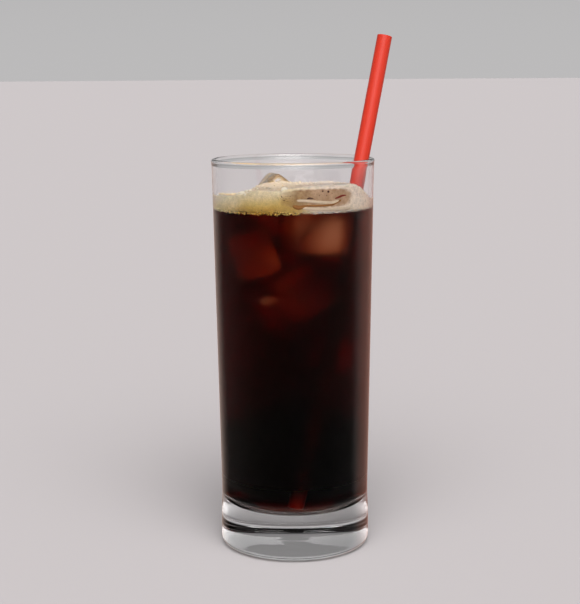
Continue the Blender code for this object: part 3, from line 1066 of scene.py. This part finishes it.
film.data.materials.append(film_finish())
print("film finish:", film.data.materials[0].name)

# %% [markdown]
# Beads and threads of coffee are caught in the film, with two pale folds of foam between them. Each
# is a line of points on the wall with a thickness at each point, round for a bead and tapered for a
# thread. A tree makes the line a curve and sweeps a circle of that thickness along it. The result
# is pressed flat against the wall.

# %% Strokes on the wall
THREAD_SIDES = 10
STROKE_STEPS = 14
STROKE_DEPTH = -0.00022
STROKE_FLATNESS = 0.6
THINNEST = 0.00001

threads, given, threads_end = new_tree("threads", Material="Material")
line = add_node(threads, "GeometryNodeMeshToCurve", Mesh=given["Geometry"])
thick = add_node(threads, "GeometryNodeInputNamedAttribute", {"data_type": "FLOAT"}, Name="thick")
ring = add_node(threads, "GeometryNodeCurvePrimitiveCircle", Resolution=THREAD_SIDES, Radius=1.0)
swept = add_node(threads, "GeometryNodeCurveToMesh", Curve=line, Profile_Curve=ring,
                 Scale=thick.outputs["Attribute"], Fill_Caps=True)
end_tree(threads, threads_end, swept, given["Material"])


def stroke(points, width, bluntness=2.0):
    """Splits a line of (azimuth, z) points into short steps and tapers it towards both ends."""
    count = len(points) - 1
    steps = []
    for step in range(STROKE_STEPS + 1):
        share = 0.5 - 0.5 * math.cos(math.pi * step / STROKE_STEPS)
        at = min(share * count, count - 1e-6)
        first, second = points[int(at)], points[int(at) + 1]
        part = at - int(at)
        azimuth, z = (a + (b - a) * part for a, b in zip(first, second))
        taper = (1.0 - abs(2 * share - 1) ** bluntness) ** (1.0 / bluntness)
        steps.append((azimuth, z, max(width * taper, THINNEST)))
    return steps


def wall_angle(length, z):
    """The azimuth that a length along the wall takes up."""
    return math.degrees(length / inner_radius(z))


def bead(azimuth, z, radius):
    half = wall_angle(radius, z)
    return stroke([(azimuth - half, z), (azimuth + half, z)], radius)


def strokes_on_wall(name, strokes, material):
    verts, edges, thickness = [], [], []
    for steps in strokes:
        start = len(verts)
        verts += [on_the_wall(azimuth, z, STROKE_DEPTH) for azimuth, z, _ in steps]
        thickness += [width for _, _, width in steps]
        edges += [(i, i + 1) for i in range(start, len(verts) - 1)]
    mesh = bpy.data.meshes.new(name)
    mesh.from_pydata(verts, edges, [])
    mesh.attributes.new("thick", "FLOAT", "POINT").data.foreach_set("value", thickness)
    piece = grow(name, mesh, threads, Material=material)
    for vert in piece.data.vertices:
        x, y, z = vert.co
        middle = inner_radius(z) - STROKE_DEPTH
        flat = (middle + (math.hypot(x, y) - middle) * STROKE_FLATNESS) / math.hypot(x, y)
        vert.co = (x * flat, y * flat, z)
    return piece


# %% [markdown]
# Along the coffee's level the foam ends in a scalloped line: rows of beads of froth, large on the
# left and fine on the right, with dark gaps just above them where coffee shows between the bubbles.
# Their sizes and places are drawn at random, but from a fixed seed, so they are the same each time.

# %% The foam's lower edge
CHANCE_SEED = 11
EDGE_DROP = 0.00045
chance = random.Random(CHANCE_SEED)


def foam_edge(azimuth, end, radii, rise, gaps):
    """Beads side by side along the coffee's level, and the azimuth at which they stop."""
    beads = []
    while azimuth < end:
        radius = chance.uniform(*radii)
        beads.append(bead(azimuth, COFFEE_LEVEL - EDGE_DROP + chance.uniform(*rise), radius))
        azimuth += wall_angle(radius, COFFEE_LEVEL) * chance.uniform(*gaps)
    return beads, azimuth


large, azimuth = foam_edge(-88.0, 4.0, (0.00024, 0.00068), (-0.0004, 0.0001), (1.2, 3.2))
small, azimuth = foam_edge(azimuth, 80.0, (0.00015, 0.00035), (-0.0001, 0.0001), (2.0, 8.0))
SCALLOPS = large + small
DARK_GAPS = [bead(chance.uniform(-70, 2), COFFEE_LEVEL + chance.uniform(0.0001, 0.0009),
                  chance.uniform(0.00010, 0.00022)) for _ in range(26)]
print("beads of froth along the edge:", len(SCALLOPS))

# %% [markdown]
# What is caught in the film is listed, in azimuth and height, where the photograph shows it: two
# pale folds, round beads and slits of dark coffee, one red slit, and the amber thread that runs
# along under the upper fold. Strokes of one finish are one piece.

# %% Caught in the film
PALE_FOLDS = [stroke([(2.5, 0.1457), (9.0, 0.1455), (18.0, 0.1449), (29.0, 0.1445), (34.0, 0.1452)],
                     0.00060, 4.0),
              stroke([(6.0, 0.1428), (16.0, 0.1422), (30.0, 0.1419), (45.0, 0.1419)], 0.00065, 4.0)]
DARK_BEADS = [bead(21.1, 0.1491, 0.00032), bead(25.4, 0.1488, 0.00044), bead(24.1, 0.1473, 0.00018),
              bead(28.4, 0.1480, 0.00014), bead(18.6, 0.1476, 0.00016), bead(14.8, 0.1481, 0.00013)]
DARK_BEADS += [bead(5.3 + 1.45 * i, 0.14935 - 0.0001 * (i % 3), 0.00008 + 0.00003 * (i % 2))
               for i in range(9)]
DARK_BEADS += [bead(16.5 + 1.1 * i, 0.1480 - 0.00035 * (i % 3), 0.00009) for i in range(6)]
DARK_BEADS += [bead(chance.uniform(-14, 0), chance.uniform(0.1452, 0.1474),
                    chance.uniform(0.00009, 0.00019)) for _ in range(20)]
DARK_SLITS = [stroke([(9.4, 0.1462), (11.5, 0.1466), (14.4, 0.1463)], 0.00028),
              stroke([(5.4, 0.14560), (8.0, 0.14575), (10.5, 0.1460)], 0.00010)]
RED_SLITS = [stroke([(30.6, 0.1460), (33.5, 0.1464), (37.0, 0.1470), (40.6, 0.1470)], 0.00042)]
AMBER_LINES = [stroke([(-0.5, 0.1436), (2.0, 0.1431), (4.6, 0.1429), (8.5, 0.1433)], 0.00085),
               stroke([(1.7, 0.1434), (10.0, 0.1436), (20.0, 0.1435), (28.7, 0.1436), (33.0, 0.1446),
                       (36.0, 0.1453)], 0.00034, 4.0)]


def stain(name, colour, deeper):
    """A wet finish that wanders between two colours, for coffee caught in foam and for froth."""
    material, tree, shader = new_material(name)
    patchy = noise_at(tree, object_place(tree), 700.0, 2.0)
    set_shader(shader, Base_Color=blend(tree, patchy, colour, deeper), Roughness=0.25, IOR=1.33,
               Specular_IOR_Level=0.1)
    return material


STAINED_STROKES = {
    "coffee_in_foam": ("coffee", DARK_GAPS, "coffee between bubbles", (0.34, 0.22, 0.08), (0.22, 0.13, 0.05)),
    "foam_folds": ("foam", PALE_FOLDS, "pale fold", (0.60, 0.47, 0.33), (0.76, 0.63, 0.48)),
    "coffee_beads": ("coffee", DARK_BEADS, "dark coffee bead", (0.10, 0.045, 0.040), (0.05, 0.020, 0.018)),
    "coffee_slits": ("coffee", DARK_SLITS, "dark coffee slit", (0.12, 0.055, 0.045), (0.06, 0.025, 0.020)),
    "red_slits": ("coffee", RED_SLITS, "red coffee slit", (0.30, 0.050, 0.038), (0.17, 0.030, 0.022)),
    "amber_threads": ("coffee", AMBER_LINES, "amber coffee thread", (0.24, 0.095, 0.02), (0.36, 0.17, 0.055)),
}
wall_strokes = {"foam_scallops": ("foam", SCALLOPS, bubble_skin)}
for name, (slot, strokes, *colours) in STAINED_STROKES.items():
    wall_strokes[name] = (slot, strokes, stain(*colours))
for name, (slot, strokes, material) in wall_strokes.items():
    piece = strokes_on_wall(name, strokes, material)
    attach(piece, "root")
    print(name, len(strokes), "strokes,", len(piece.data.polygons), "faces")

# %% [markdown]
# A few single lumps of froth on the foam are easiest to place by where the photograph shows them.
# Each is given by its column and row there, in pixels, and its radius in metres. A line of sight
# goes from the camera through that point, and the lump is set where the line meets the foam, so it
# always rests on the surface.

# %% Lumps on the foam
LUMPS = [(284.5, 189.5, 0.00140), (243.0, 193.2, 0.00130), (247.5, 191.6, 0.00110), (239.5, 194.0, 0.00090),
         (251.0, 190.5, 0.00070), (246.0, 194.5, 0.00050), (259.0, 188.5, 0.00050), (266.0, 187.5, 0.00045)]
LUMP_FLATNESS = 0.7
foam_surface = BVHTree.FromObject(foam, bpy.context.evaluated_depsgraph_get())


def line_of_sight(column, row):
    """The direction in which the camera sees a point of the picture, given in pixels."""
    seen = Vector(((column - IMAGE_WIDTH / 2) / FOCAL_PIXELS, (IMAGE_HEIGHT / 2 - row) / FOCAL_PIXELS, -1.0))
    return (camera.matrix_world.to_3x3() @ seen).normalized()


lump_shape = bmesh.new()
for column, row, radius in LUMPS:
    spot, normal, _, _ = foam_surface.ray_cast(camera.matrix_world.translation, line_of_sight(column, row))
    flat = Matrix.Diagonal((1.0, 1.0, LUMP_FLATNESS, 1.0))
    turn = Vector((0, 0, 1)).rotation_difference(normal).to_matrix().to_4x4()
    bmesh.ops.create_icosphere(lump_shape, subdivisions=4, radius=radius,
                               matrix=Matrix.Translation(spot) @ turn @ flat)
lumps = new_object("lumps_on_foam", as_mesh(lump_shape, "lumps"))
lumps.data.shade_smooth()
lumps.data.materials.append(stain("pale froth", (0.80, 0.72, 0.56), (0.88, 0.82, 0.68)))
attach(lumps, "root")
print("lumps on the foam:", len(LUMPS))
